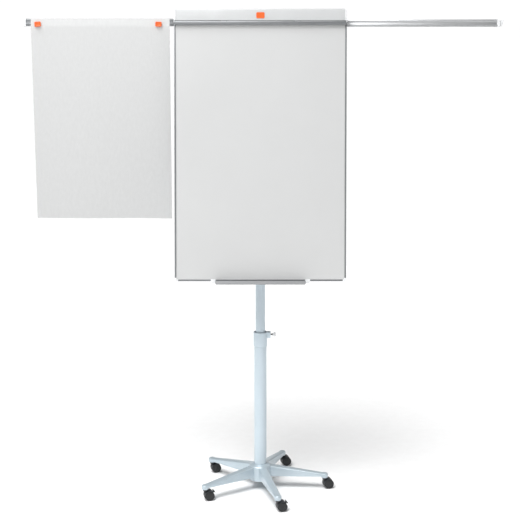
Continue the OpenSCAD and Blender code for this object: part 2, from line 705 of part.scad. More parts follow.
// Clips on the lower trim whose pins carry the tray's ends
module tray_clips() color("#e8eaea") on_board() for (s = [-1, 1]) mirrored(s) {
    difference() {
        block([tray_w / 2 + 0.3, tray_w / 2 + 0.3 + clip_w], [-trim_wall - 3, trim_back + 2.5],
            [tray_pin[1] - 2.5, low_trim_h + 1.2]);
        block([0, half], [-trim_wall - touch, trim_back + touch], [-touch, low_trim_h + 5]);
    }
    translate([tray_w / 2 - 4, tray_pin[0], tray_pin[1]]) rotate([0, 90, 0]) cylinder(d = 4, h = 8);
}

// ---- Display arms ---------------------------------------------------------

slot_mouth = 4.5;
slot_half = 7.5;
slot_deep = 2;
slot_head = 3.6;

// Section of an arm, with its face at depth 0 and its centre line at height 0:
// a soft upper edge, a ledge that stands proud, and a T-slot in the back
module arm_section() difference() {
    top = arm_h / 2;
    union() {
        polygon([[0, -top], [arm_d, -top], [arm_d, top], [7, top], [7, top - 6], [1.2, top - 6],
            [1.2, -3], [0, -5.5], [0, 4 - top], [1.8, 4 - top], [1.8, 2 - top], [0, 2 - top]]);
        intersection() {
            translate([7, top - 6]) circle(6);
            rect([0, 8], [top - 7, top]);
        }
    }
    rect([arm_d - slot_deep - 1, arm_d + 1], [-slot_mouth, slot_mouth]);
    rect([arm_d - slot_deep - slot_head, arm_d - slot_deep], [-slot_half, slot_half]);
    for (s = [-1, 1]) rect([1.8 + arm_wall, arm_d - arm_wall], s > 0
        ? [slot_half + arm_wall, top - arm_wall - 1] : [-top + arm_wall, -slot_half - arm_wall]);
}

module arm_rail(depth) color("#8d9296") on_board() across(2 * inset) translate([depth, arm_w]) {
    rect([arm_d + arm_gap, arm_d + arm_gap + rail_t], [-arm_h / 2 + 4, arm_h / 2 + 17]);
    rect([arm_d - slot_deep - arm_gap, arm_d + 1], [-slot_mouth + arm_gap, slot_mouth - arm_gap]);
    rect([arm_d - slot_deep - slot_head + arm_gap, arm_d - slot_deep - arm_gap],
        [-slot_half + arm_gap, slot_half - arm_gap]);
}
module front_arm_rail() arm_rail(arm_face);
module rear_arm_rail() arm_rail(arm_face + arm_pitch);

module arm(side, reach, depth) color("#b3b8bb") on_board() mirrored(side)
    across_span(reach - arm_l, reach) translate([depth, arm_w]) arm_section();
module left_arm() arm(-1, left_reach, arm_face);
module right_arm() arm(1, right_reach, arm_face + arm_pitch);

// Moulded grip on the arm's outer end: flange, neck and a slanted finger tab
module arm_grip(side, reach, depth) color("#e3e6e7") on_board() mirrored(side) translate([reach, depth, arm_w]) {
    outer = grip_flange + grip_tab;
    translate([grip_flange / 2, arm_d / 2, 0]) rotate([90, 0, 90])
        linear_extrude(grip_flange, center = true) round_rect(arm_d + 3, arm_h + 3.4, 3);
    block([grip_flange, grip_flange + 4], [4, 8], [-9, 9]);
    along_depth(3.5, 8.5) polygon([[grip_flange + 3, -13], [outer - 8, -13], [outer, 9], [outer - 2, 14],
        [grip_flange + 3, 14]]);
}
module left_arm_grip() arm_grip(-1, left_reach, arm_face);
module right_arm_grip() arm_grip(1, right_reach, arm_face + arm_pitch);

// Blocks behind the header that the two arm rails hang from
hanger_low = arm_w + arm_h / 2 + 4;
hanger_side = half - header_end_l - hanger_w / 2 - 4;
hanger_x = [-hanger_side, 0, hanger_side];
hanger_screw_x = hanger_w / 2 - 7;
hanger_screw_w = hanger_low + 6.2;
rail_back = arm_face + arm_pitch + arm_d + arm_gap + rail_t;
module rail_hangers() color("#3c4043") on_board() for (x = hanger_x) translate([x, 0, 0]) difference() {
    across(hanger_w) difference() {
        union() {
            rect([rail_d, rail_back + 3], [hanger_low, header_low + 27.5]);
            rect([rail_d + header_wall + 1, rail_back + 3], [hanger_low, header_low + 33]);
        }
        for (depth = [arm_face, arm_face + arm_pitch]) rect(
            [depth + arm_d + arm_gap - touch, depth + arm_d + arm_gap + rail_t + touch],
            [hanger_low - 1, arm_w + arm_h / 2 + 17 + touch]);
    }
    for (s = [-1, 1]) translate([s * hanger_screw_x, 0, hanger_screw_w]) {
        translate([0, rail_d - 1, 0]) rotate([-90, 0, 0]) cylinder(d = 4.2, h = 12);
        block([-4.5, 4.5], [rail_d + 8, arm_face + arm_d - 4], [-4.5, 40]);
    }
}

module hanger_screws() color("#9aa0a6") on_board() for (x = hanger_x, s = [-1, 1])
    translate([x + s * hanger_screw_x, 0, hanger_screw_w]) rotate([-90, 0, 0]) {
        translate([0, 0, rail_d + 8]) cylinder(d = 7.4, h = 2.2);
        translate([0, 0, rail_d - 4]) cylinder(d = 4, h = 13);
    }

// ---- Paper and magnets ----------------------------------------------------

// The sheet lies against the front arm's face and hangs straight down from its edge
module paper_sheet() color("#f4f5f5") translate([-paper_x, 0, 0]) {
    at = function (d, w) [-board_reach + w * sin(board_lean) + d * cos(board_lean),
                          board_z + w * cos(board_lean) - d * sin(board_lean)];
    top = arm_w + arm_h / 2;
    edge = arm_w - arm_h / 2;
    back = arm_face - paper_gap;
    e = at(back, edge);
    across(paper_w) polygon([at(back, top), e, [e[0], e[1] - paper_drop],
        [e[0] - paper_t, e[1] - paper_drop], [e[0] - paper_t, e[1] - 1], at(back - paper_t, edge + 1),
        at(back - paper_t, top)]);
}

module magnet(x, w, turn) color("#ff6e28") on_board() translate([x, arm_face - paper_t - 2 * paper_gap, arm_w + w])
    rotate([90, turn, 0]) {
        linear_extrude(magnet_t - 1.5) round_rect(magnet_w, magnet_h, 4);
        linear_extrude(magnet_t) round_rect(magnet_w - 3, magnet_h - 3, 3);
    }
magnet_w_mid = -9;            // height of the magnets' middle on the arm
module left_magnet() magnet(-907, magnet_w_mid, -4);
module right_magnet() magnet(-415, magnet_w_mid, 2);

star_base();
lower_post();
post_foot_plug();
base_bolt();
post_collar();
collar_bush();
clamp_nut();
clamp_screw();
wing_knob();
castor_stems();
for (i = [0:4]) {
    castor_housing(i);
    castor_wheels(i);
}
for (i = BRAKED) castor_brake(i);
upper_post();
post_guide_plug();
post_top_cap();
board_bracket();
bracket_bolts();
bracket_screws();
lower_cross_rail();
upper_cross_rail();
writing_sheet();
core_panel();
backing_sheet();
left_trim();
right_trim();
lower_trim();
corner_caps();
top_rail();
header_cover();
left_header_end();
right_header_end();
badge();
clamp_bar();
hinge_rod();
clamp_springs();
left_pad_peg();
right_pad_peg();
pen_tray();
tray_clips();
front_arm_rail();
rear_arm_rail();
rail_hangers();
hanger_screws();
left_arm();
left_arm_grip();
right_arm();
right_arm_grip();
left_magnet();
right_magnet();
paper_sheet();
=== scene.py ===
# %% [markdown]
# # A mobile flipchart easel
# The easel is a whiteboard that leans back on a telescopic post. It has a pad clamp and a pen tray, two
# arms that slide out of its back, and a cast star base on five twin-wheel castors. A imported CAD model
# already fixes every size and place. This lesson loads it, gives each part its finish, and models again
# the pieces that need softer edges or finer detail than plain CAD solids have.

# %% Load the frame
import bpy
import json
import math
from mathutils import Matrix, Vector


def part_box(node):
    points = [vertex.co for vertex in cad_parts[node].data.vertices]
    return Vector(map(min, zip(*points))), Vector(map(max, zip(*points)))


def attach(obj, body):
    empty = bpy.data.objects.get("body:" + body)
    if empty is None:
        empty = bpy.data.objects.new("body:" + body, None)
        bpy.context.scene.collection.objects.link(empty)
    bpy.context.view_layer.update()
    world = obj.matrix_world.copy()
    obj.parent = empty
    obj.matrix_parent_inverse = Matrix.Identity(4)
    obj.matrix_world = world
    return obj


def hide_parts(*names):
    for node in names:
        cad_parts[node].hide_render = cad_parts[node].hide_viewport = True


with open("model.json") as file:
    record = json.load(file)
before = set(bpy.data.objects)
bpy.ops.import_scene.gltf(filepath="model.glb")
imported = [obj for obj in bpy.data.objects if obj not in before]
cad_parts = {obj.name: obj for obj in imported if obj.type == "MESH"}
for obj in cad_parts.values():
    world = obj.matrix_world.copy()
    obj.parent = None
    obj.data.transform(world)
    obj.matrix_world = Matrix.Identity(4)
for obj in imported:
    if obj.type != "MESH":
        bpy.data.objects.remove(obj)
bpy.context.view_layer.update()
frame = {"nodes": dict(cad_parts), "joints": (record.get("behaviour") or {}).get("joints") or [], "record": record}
nodes = frame["nodes"]
mounts = {mount["name"]: mount for mount in frame["record"]["mounts"]}
joints = {joint["name"]: joint for joint in frame["joints"]}

# %% [markdown]
# ## The camera
# An object like this is looked at from standing height, a few steps away. A long lens keeps the post and
# the board's edges nearly parallel. The camera looks slightly down, so that the top of the star base
# shows. Depth of field stays off, so that every piece is sharp.

# %% Camera
scene = bpy.context.scene
EYE = (-0.0017, -5.0, 1.9959)
LOOK_DOWN = math.radians(11.29)
LENS_MM = 84.83
SENSOR_MM = 36.0
camera_data = bpy.data.cameras.new("camera")
camera_data.lens = LENS_MM
camera_data.sensor_width = SENSOR_MM
camera = bpy.data.objects.new("camera", camera_data)
camera.location = EYE
camera.rotation_euler = (math.radians(90) - LOOK_DOWN, 0, 0)
scene.collection.objects.link(camera)
scene.camera = camera
scene.view_settings.view_transform = "Standard"
print("camera at", EYE)

# %% [markdown]
# ## The studio
# A pale floor and a pale world give soft light from all round, but light that comes evenly from everywhere
# leaves a round tube looking flat. So the sky is white only near the horizon, where the picture's
# background needs it, and grey above, and a very wide sun from the front left brings the rest: its
# shadows are soft, it doesn't fall off with distance, and a tube gets a bright band a third of the way
# across. An area lamp above makes the board brighter at its top than at its foot, and a weak one behind
# keeps the easel's back readable. A narrow spot from high up reaches only the star base, which the board
# would otherwise shade, and lifts the noses of its legs.

# %% Floor, world and lamps
def lamp(name, kind, place, target, watts):
    data = bpy.data.lights.new(name, kind)
    data.energy = watts
    holder = bpy.data.objects.new(name, data)
    holder.location = place
    holder.rotation_euler = (Vector(target) - Vector(place)).to_track_quat("-Z", "Y").to_euler()
    scene.collection.objects.link(holder)
    return data


HORIZON = 1.05
ZENITH = 0.12
SKY_FADE = (0.10, 0.20)
TOP = 36
TOP_SIZE = 2.0
BACK = 12
BACK_SIZE = 2.5
BASE_SPOT = 80
SPOT_CONE = 12
SPOT_RADIUS = 0.45
FLOOR_SIZE = 600
SUN = 3.2
SUN_LEFT = 40
SUN_HIGH = 68.5
SUN_WIDTH = 50
bpy.ops.object.select_all(action="DESELECT")
bpy.ops.mesh.primitive_plane_add(size=FLOOR_SIZE)
floor = bpy.context.object
floor.name = "studio_floor"

world = bpy.data.worlds.new("studio")
scene.world = world
world.use_nodes = True
sky_nodes = world.node_tree
sky = sky_nodes.nodes["Background"]
sky.inputs["Color"].default_value = (1.0, 1.0, 1.0, 1)
direction = sky_nodes.nodes.new("ShaderNodeTexCoord")
height = sky_nodes.nodes.new("ShaderNodeSeparateXYZ")
fade = sky_nodes.nodes.new("ShaderNodeMapRange")
fade.inputs["From Min"].default_value = SKY_FADE[0]
fade.inputs["From Max"].default_value = SKY_FADE[1]
fade.inputs["To Min"].default_value = HORIZON
fade.inputs["To Max"].default_value = ZENITH
sky_nodes.links.new(direction.outputs["Generated"], height.inputs["Vector"])
sky_nodes.links.new(height.outputs["Z"], fade.inputs["Value"])
sky_nodes.links.new(fade.outputs["Result"], sky.inputs["Strength"])

lamp("top_lamp", "AREA", (-1.1, -1.5, 3.5), (0, 0, 1.7), TOP).size = TOP_SIZE
lamp("back_lamp", "AREA", (1.5, 4.0, 3.5), (0, 0, 1.4), BACK).size = BACK_SIZE
spot = lamp("base_spot", "SPOT", (-0.9, -1.3, 3.0), (0, 0, 0.1), BASE_SPOT)
spot.spot_size = math.radians(SPOT_CONE)
spot.spot_blend = 0.5
spot.shadow_soft_size = SPOT_RADIUS

sun_data = bpy.data.lights.new("wide_sun", "SUN")
sun_data.energy = SUN
sun_data.angle = math.radians(SUN_WIDTH)
sun = bpy.data.objects.new("wide_sun", sun_data)
sun.rotation_euler = Vector((math.sin(math.radians(SUN_LEFT)), math.cos(math.radians(SUN_LEFT)),
                             -math.tan(math.radians(SUN_HIGH)))).to_track_quat("-Z", "Y").to_euler()
scene.collection.objects.link(sun)

# %% [markdown]
# ## How a finish is made
# No real surface is one flat colour. Each finish starts from a Principled shader. A noise texture moves
# its colour a little, a second one moves its roughness, and a third one is the relief that the light
# catches. All of them read Object coordinates in metres, so a grain of half a millimetre is the same
# size on every piece. Values that are the same all over are set on the shader itself.

# %% Helpers for finishes
def new_finish(name, color, roughness, metallic=0.0):
    finish = bpy.data.materials.new(name)
    finish.use_nodes = True
    shader = finish.node_tree.nodes["Principled BSDF"]
    shader.inputs["Base Color"].default_value = (*color, 1)
    shader.inputs["Roughness"].default_value = roughness
    shader.inputs["Metallic"].default_value = metallic
    finish.diffuse_color = (*color, 1)
    return finish, finish.node_tree, shader


def place_of(tree, stretch=(1, 1, 1)):
    """Object coordinates in metres, stretched for a grain that runs one way."""
    where = tree.nodes.new("ShaderNodeTexCoord")
    mapping = tree.nodes.new("ShaderNodeMapping")
    mapping.inputs["Scale"].default_value = stretch
    tree.links.new(where.outputs["Object"], mapping.inputs["Vector"])
    return mapping.outputs["Vector"]


def noise(tree, place, per_metre, detail=3.0, rough=0.55):
    texture = tree.nodes.new("ShaderNodeTexNoise")
    texture.inputs["Scale"].default_value = per_metre
    texture.inputs["Detail"].default_value = detail
    texture.inputs["Roughness"].default_value = rough
    tree.links.new(place, texture.inputs["Vector"])
    return texture.outputs["Fac"]


def spread(tree, value, low, high):
    """Maps the middle of a noise onto low..high."""
    ramp = tree.nodes.new("ShaderNodeMapRange")
    ramp.inputs["From Min"].default_value = 0.3
    ramp.inputs["From Max"].default_value = 0.7
    ramp.inputs["To Min"].default_value = low
    ramp.inputs["To Max"].default_value = high
    tree.links.new(value, ramp.inputs["Value"])
    return ramp.outputs["Result"]


def vary_color(tree, shader, value, dark, light):
    mix = tree.nodes.new("ShaderNodeMix")
    mix.data_type = "RGBA"
    mix.inputs["A"].default_value = (*dark, 1)
    mix.inputs["B"].default_value = (*light, 1)
    tree.links.new(spread(tree, value, 0.0, 1.0), mix.inputs["Factor"])
    tree.links.new(mix.outputs["Result"], shader.inputs["Base Color"])


def relief(tree, shader, value, height):
    bump = tree.nodes.new("ShaderNodeBump")
    bump.inputs["Strength"].default_value = 1.0
    bump.inputs["Distance"].default_value = height
    tree.links.new(value, bump.inputs["Height"])
    tree.links.new(bump.outputs["Normal"], shader.inputs["Normal"])


def shade(color, factor):
    return tuple(min(1.0, part * factor) for part in color)


# %% [markdown]
# ## Paint and enamel
# Powder coat is a paint that melts on the metal and sets with a fine orange-peel relief. It is modelled
# as a slightly glossy plastic skin with bumps about two millimetres across. Vitreous enamel on the writing
# sheet is smoother and wetter, and wiping leaves soft, wide streaks in its gloss. The base and the post
# have fine metal flakes in their coat, so they are partly metallic.

# %% Painted finishes
def powder_coat(name, color, roughness, metallic=0.0, coat=0.25, peel=0.000012):
    finish, tree, shader = new_finish(name, color, roughness, metallic)
    place = place_of(tree)
    vary_color(tree, shader, noise(tree, place, 9.0, 4.0), shade(color, 0.965), shade(color, 1.025))
    gloss = spread(tree, noise(tree, place, 55.0, 4.0), roughness - 0.03, roughness + 0.04)
    tree.links.new(gloss, shader.inputs["Roughness"])
    relief(tree, shader, noise(tree, place, 450.0, 2.0), peel)
    shader.inputs["Coat Weight"].default_value = coat
    shader.inputs["Coat Roughness"].default_value = 0.18
    return finish


def wiped_enamel(name, color):
    finish, tree, shader = new_finish(name, color, 0.34)
    place = place_of(tree)
    wiped = noise(tree, place_of(tree, (1.0, 1.0, 6.0)), 3.0, 5.0, 0.6)
    vary_color(tree, shader, noise(tree, place, 2.5, 4.0), shade(color, 0.975), shade(color, 1.012))
    tree.links.new(spread(tree, wiped, 0.30, 0.38), shader.inputs["Roughness"])
    relief(tree, shader, noise(tree, place, 350.0, 1.0), 0.00002)
    shader.inputs["Coat Weight"].default_value = 0.3
    shader.inputs["Coat Roughness"].default_value = 0.18
    return finish


finishes = {
    "base_coat": powder_coat("base_coat", (0.50, 0.585, 0.64), 0.32, 0.35, 0.6),
    "post_coat": powder_coat("post_coat", (0.56, 0.65, 0.71), 0.33, 0.15),
    "bracket_coat": powder_coat("bracket_coat", (0.50, 0.56, 0.60), 0.45),
    "header_coat": powder_coat("header_coat", (0.565, 0.575, 0.58), 0.4),
    "tray_coat": powder_coat("tray_coat", (0.31, 0.316, 0.325), 0.42),
    "white_enamel": wiped_enamel("white_enamel", (0.565, 0.57, 0.57)),
}
print("painted finishes", len(finishes))

# %% [markdown]
# ## Bare metal
# An extruded bar carries fine lines along its length from the die, so its noise is stretched along X.
# Anodising turns the gloss satin. Zinc plate is mottled, galvanised sheet has flat crystals, which a
# Voronoi texture gives, and drawn spring wire is nearly plain.

# %% Metal finishes
DIE_LINES = (2.0, 420.0, 420.0)


def anodised_bar(name, color, roughness, metallic=0.85):
    finish, tree, shader = new_finish(name, color, roughness, metallic)
    lines = noise(tree, place_of(tree, DIE_LINES), 3.0, 3.0)
    cloudy = noise(tree, place_of(tree), 14.0, 3.0)
    vary_color(tree, shader, cloudy, shade(color, 0.95), shade(color, 1.03))
    tree.links.new(spread(tree, lines, roughness - 0.07, roughness + 0.08), shader.inputs["Roughness"])
    relief(tree, shader, lines, 0.00002)
    return finish


def mottled_metal(name, color, roughness, per_metre, crystals=False):
    finish, tree, shader = new_finish(name, color, roughness, 1.0)
    place = place_of(tree)
    if crystals:
        texture = tree.nodes.new("ShaderNodeTexVoronoi")
        texture.inputs["Scale"].default_value = per_metre
        tree.links.new(place, texture.inputs["Vector"])
        grain = texture.outputs["Color"]
    else:
        grain = noise(tree, place, per_metre, 3.0)
    vary_color(tree, shader, grain, shade(color, 0.82), shade(color, 1.08))
    tree.links.new(spread(tree, noise(tree, place, per_metre * 2, 2.0), roughness - 0.08, roughness + 0.1),
                   shader.inputs["Roughness"])
    relief(tree, shader, noise(tree, place, 600.0, 2.0), 0.00003)
    return finish


finishes.update({
    "anodised": anodised_bar("anodised", (0.60, 0.61, 0.62), 0.42),
    "grey_anodised": anodised_bar("grey_anodised", (0.235, 0.244, 0.252), 0.42, 0.55),
    "zinc_steel": mottled_metal("zinc_steel", (0.58, 0.59, 0.60), 0.38, 160.0),
    "spring_steel": mottled_metal("spring_steel", (0.62, 0.63, 0.64), 0.38, 90.0),
    "dark_steel": mottled_metal("dark_steel", (0.13, 0.135, 0.14), 0.45, 200.0),
    "galvanised": mottled_metal("galvanised", (0.55, 0.56, 0.57), 0.42, 45.0, crystals=True),
})
print("finishes so far", len(finishes))

# %% [markdown]
# ## Plastics, rubber, fibre board and paper
# Pale mouldings let a little light in, so their edges glow softly: that is a small subsurface share.
# Black castor plastic has a fine spark-eroded grain and gathers dust. Wheel treads are duller than their
# discs. Paper is the roughest of all, and its fibres show only as a faint, long-grained relief.

# %% Moulded and fibrous finishes
def moulded(name, color, roughness, grain=0.00004, glow=0.0, dust=0.0):
    finish, tree, shader = new_finish(name, color, roughness)
    place = place_of(tree)
    cloudy = noise(tree, place, 30.0, 4.0)
    light = tuple(min(1.0, part * 1.04 + dust) for part in color)
    vary_color(tree, shader, cloudy, shade(color, 0.94), light)
    tree.links.new(spread(tree, noise(tree, place, 120.0, 3.0), roughness - 0.05, roughness + 0.08),
                   shader.inputs["Roughness"])
    relief(tree, shader, noise(tree, place, 1500.0, 2.0), grain)
    if glow:
        shader.inputs["Subsurface Weight"].default_value = glow
        shader.inputs["Subsurface Radius"].default_value = (1.0, 1.0, 1.0)
        shader.inputs["Subsurface Scale"].default_value = 0.002
    return finish


def fibrous(name, color, roughness, per_metre, height, stretch=(1, 1, 1)):
    finish, tree, shader = new_finish(name, color, roughness)
    fibres = noise(tree, place_of(tree, stretch), per_metre, 6.0, 0.7)
    vary_color(tree, shader, fibres, shade(color, 0.96), shade(color, 1.02))
    relief(tree, shader, fibres, height)
    shader.inputs["Specular IOR Level"].default_value = 0.25
    return finish


finishes.update({
    "black_plastic": moulded("black_plastic", (0.035, 0.037, 0.04), 0.5, dust=0.006),
    "castor_plastic": moulded("castor_plastic", (0.022, 0.024, 0.027), 0.42, dust=0.010),
    "brake_plastic": moulded("brake_plastic", (0.022, 0.023, 0.025), 0.35, dust=0.006),
    "wheel_rubber": moulded("wheel_rubber", (0.015, 0.016, 0.017), 0.6, dust=0.012),
    "pale_plastic": moulded("pale_plastic", (0.78, 0.79, 0.80), 0.4, glow=0.25),
    "orange_plastic": moulded("orange_plastic", (0.76, 0.125, 0.020), 0.35, glow=0.08),
    "core_board": fibrous("core_board", (0.42, 0.30, 0.17), 0.85, 260.0, 0.0002),
    "paper": fibrous("paper", (0.59, 0.595, 0.595), 0.9, 120.0, 0.00004, (1.0, 1.0, 0.4)),
})
floor_finish = fibrous("studio_paper", (1.0, 1.0, 1.0), 0.9, 20.0, 0.00005)
floor.data.materials.append(floor_finish)

for part in frame["record"]["subparts"]:
    nodes[part["node"]].material_slots[0].material = finishes[part["material_slot"]]
slot_of = {part["node"]: part["material_slot"] for part in frame["record"]["subparts"]}
body_of = {node: body for body, members in frame["record"]["behaviour"]["bodies"].items()
           for node in members}
print("finishes", sorted(finishes))

# %% [markdown]
# ## Edges that catch the light
# An extrusion's or a moulding's edges are never knife sharp, and the thin highlight on them tells the
# eye that they are real. CAD solids come as loose triangles, so each one is copied, merged and cleaned
# of the lines across its flat faces, and then a narrow bevel rounds its real edges. Metal profiles get the
# smallest rounding, and moulded caps and grips the largest.

# %% Soften copies of CAD parts
def only(piece):
    bpy.ops.object.select_all(action="DESELECT")
    piece.hide_set(False)
    piece.select_set(True)
    bpy.context.view_layer.objects.active = piece


def apply_all(piece):
    only(piece)
    for modifier in list(piece.modifiers):
        bpy.ops.object.modifier_apply(modifier=modifier.name)


def finished(piece, body, slot, *replaced):
    """Gives a modelled piece its finish, and makes it ride on its body in place of CAD nodes."""
    only(piece)
    bpy.ops.object.transform_apply(location=True, rotation=True, scale=True)
    piece.data.materials.clear()
    piece.data.materials.append(finishes[slot])
    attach(piece, body)
    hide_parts(*replaced)
    return piece


def softened(node, width):
    piece = nodes[node].copy()
    piece.data = nodes[node].data.copy()
    piece.parent = None
    for key in list(piece.keys()):
        del piece[key]
    piece.name = node + "_finished"
    scene.collection.objects.link(piece)
    only(piece)
    bpy.ops.object.mode_set(mode="EDIT")
    bpy.ops.mesh.select_all(action="SELECT")
    bpy.ops.mesh.remove_doubles(threshold=0.00001)
    bpy.ops.mesh.dissolve_limited(angle_limit=math.radians(0.5))
    bpy.ops.object.mode_set(mode="OBJECT")
    bevel = piece.modifiers.new("edge", "BEVEL")
    bevel.width = width
    bevel.segments = 2
    bevel.limit_method = "ANGLE"
    bevel.angle_limit = math.radians(35)
    bevel.use_clamp_overlap = True
    apply_all(piece)
    bpy.ops.object.shade_smooth_by_angle(angle=math.radians(32))
    return finished(piece, body_of[node], slot_of[node], node)


# %% Soft edges for rolled, pressed and moulded parts
SOFT_EDGES = {
    0.0004: ["front_castor_brake", "left_front_castor_brake", "left_trim", "right_trim", "lower_trim",
             "clamp_bar", "left_arm", "right_arm", "front_arm_rail", "rear_arm_rail", "top_rail"],
    0.0007: ["pen_tray", "lower_cross_rail", "upper_cross_rail", "board_bracket", "header_cover",
             "left_pad_peg", "right_pad_peg"],
    0.0012: ["left_header_end", "right_header_end", "corner_caps", "tray_clips", "left_arm_grip",
             "right_arm_grip", "rail_hangers", "post_collar"],
}
CASTORS = ["right", "front", "left_front", "left_rear", "right_rear"]
SOFT_EDGES[0.0006] = [castor + part for castor in CASTORS for part in ("_castor_housing", "_castor_wheels")]
for width, parts in SOFT_EDGES.items():
    for part in parts:
        piece = softened(part, width)
        print(part, "edges", width * 1000, "mm,", len(piece.data.polygons), "faces")

# %% [markdown]
# ## Selecting in code
# By hand one would click on the faces to shape. A script has to say which ones it means, so this helper
# selects vertices, edges or faces by a test on their place or direction, and then opens edit mode.

# %% Select by place or direction
SELECT_MODES = {"vertices": (True, False, False), "edges": (False, True, False),
                "faces": (False, False, True)}


def pick(piece, kind, test):
    if piece.mode == "EDIT":
        bpy.ops.object.mode_set(mode="OBJECT")
    mesh = piece.data
    for group in (mesh.vertices, mesh.edges, mesh.polygons):
        group.foreach_set("select", [False] * len(group))
    items = mesh.polygons if kind == "faces" else mesh.edges if kind == "edges" else mesh.vertices
    chosen = [item for item in items if test(item)]
    for item in chosen:
        item.select = True
    bpy.context.tool_settings.mesh_select_mode = SELECT_MODES[kind]
    bpy.ops.object.mode_set(mode="EDIT")
    return len(chosen)


def start(name, add, **how):
    """Adds a primitive alone in the selection, at its size and place."""
    bpy.ops.object.select_all(action="DESELECT")
    add(**how)
    piece = bpy.context.object
    piece.name = name
    bpy.ops.object.transform_apply(location=True, rotation=True, scale=True)
    return piece


def placed_copy(piece, name, matrix):
    copy = piece.copy()
    copy.data = piece.data.copy()
    copy.name = name
    scene.collection.objects.link(copy)
    copy.data.transform(matrix)
    return copy


def joined(name, pieces):
    bpy.ops.object.select_all(action="DESELECT")
    for piece in pieces:
        piece.select_set(True)
    bpy.context.view_layer.objects.active = pieces[0]
    bpy.ops.object.join()
    pieces[0].name = name
    return pieces[0]

# %% [markdown]
# ## The star base
# The base is one aluminium casting: a hub with five tapered legs. Each leg has a round nose over its
# castor, rounded upper edges and a hollow underside. One leg is shaped from a block and copied five times.
# The legs and the castor bosses are then joined to the hub with booleans, so that the casting is one
# closed skin and its flat faces stay true. The rounded rim of the hub carries on the rounded edges of
# the legs. The bore for the tube comes last, because it is machined and its edge is crisp.

# %% One leg
stems = [Vector(joints[castor + "_castor_swivel"]["pos_m"]) for castor in CASTORS]
base_low, base_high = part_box("star_base")
REACH = stems[0].xy.length
LEG_START = 0.034
LEG_WIDTH = 0.038
NOSE_WIDTH = 0.029
NOSE_FLAT = 0.0105
LEG_LOW = 0.0555
LEG_HIGH = 0.102
NOSE_HIGH = 0.0675
LEG_WALL = 0.0065
LEG_ROUND = 0.0055
RECESS = 0.006
HUB_RECESS = 0.024
leg_end = REACH + NOSE_WIDTH / 2
leg = start("leg", bpy.ops.mesh.primitive_cube_add, size=1,
            location=((LEG_START + leg_end) / 2, 0, (LEG_LOW + LEG_HIGH) / 2),
            scale=(leg_end - LEG_START, LEG_WIDTH, LEG_HIGH - LEG_LOW))
pick(leg, "faces", lambda face: True)
bpy.ops.mesh.bisect(plane_co=(REACH - NOSE_FLAT, 0, 0), plane_no=(1, 0, 0))
pick(leg, "vertices", lambda vertex: vertex.co.x > REACH - NOSE_FLAT - 0.001)
bpy.ops.transform.resize(value=(1, NOSE_WIDTH / LEG_WIDTH, 1))
pick(leg, "vertices", lambda vertex:
     vertex.co.x > REACH - NOSE_FLAT - 0.001 and vertex.co.z > LEG_LOW + 0.01)
bpy.ops.transform.translate(value=(0, 0, NOSE_HIGH - LEG_HIGH))
pick(leg, "edges", lambda edge: all(leg.data.vertices[v].co.x > leg_end - 0.001 for v in edge.vertices)
     and abs(leg.data.vertices[edge.vertices[0]].co.z - leg.data.vertices[edge.vertices[1]].co.z) > 0.005)
bpy.ops.mesh.bevel(offset=NOSE_WIDTH / 2 - 0.0006, segments=8)
spots = leg.data.vertices


def upper_outline(edge):
    a, b = (spots[v].co for v in edge.vertices)
    return min(a.z, b.z) > LEG_LOW + 0.01 and (a.y * b.y > 0 or min(a.x, b.x) > leg_end - 0.001)


pick(leg, "edges", upper_outline)
bpy.ops.mesh.bevel(offset=LEG_ROUND, segments=4)
pick(leg, "faces", lambda face: face.normal.z < -0.9)
bpy.ops.mesh.inset(thickness=LEG_WALL)
bpy.ops.mesh.extrude_region_move(TRANSFORM_OT_translate={"value": (0, 0, RECESS)})
pick(leg, "vertices", lambda vertex: LEG_LOW + 0.004 < vertex.co.z < LEG_LOW + 0.008 and vertex.co.x < 0.1)
bpy.ops.transform.translate(value=(0, 0, HUB_RECESS))
bpy.ops.object.mode_set(mode="OBJECT")
print("leg", len(leg.data.polygons), "faces, to", round(leg_end, 4))

# %% Hub, noses and the whole casting
HUB = 0.048
HUB_RIM = 0.101
HUB_SHOULDER = 0.020
TUBE_BORE = 0.0271
SOCKET_FLOOR = 0.046
BOSS = 0.0139
BOSS_LOW = 0.0485
BOSS_HEIGHT = 0.012
HUB_ROUND = 0.004
hub = start("star_base_cast", bpy.ops.mesh.primitive_cylinder_add, vertices=96, radius=HUB,
            depth=HUB_RIM - base_low.z, location=(0, 0, (HUB_RIM + base_low.z) / 2))
pick(hub, "faces", lambda face: face.normal.z > 0.9)
bpy.ops.mesh.inset(thickness=HUB_SHOULDER, depth=base_high.z - HUB_RIM)
rim = hub.data.vertices
pick(hub, "edges", lambda edge:
     all(abs(rim[v].co.z - HUB_RIM) < 0.0001 and rim[v].co.xy.length > HUB - 0.001
         for v in edge.vertices))
bpy.ops.mesh.bevel(offset=HUB_ROUND, segments=4)
bpy.ops.object.mode_set(mode="OBJECT")


def machine(piece, tool, operation):
    """Joins another closed shape to the piece, or cuts it out, and removes the tool."""
    work = piece.modifiers.new(operation.lower(), "BOOLEAN")
    work.object = tool
    work.operation = operation
    work.solver = "EXACT"
    apply_all(piece)
    bpy.data.objects.remove(tool)


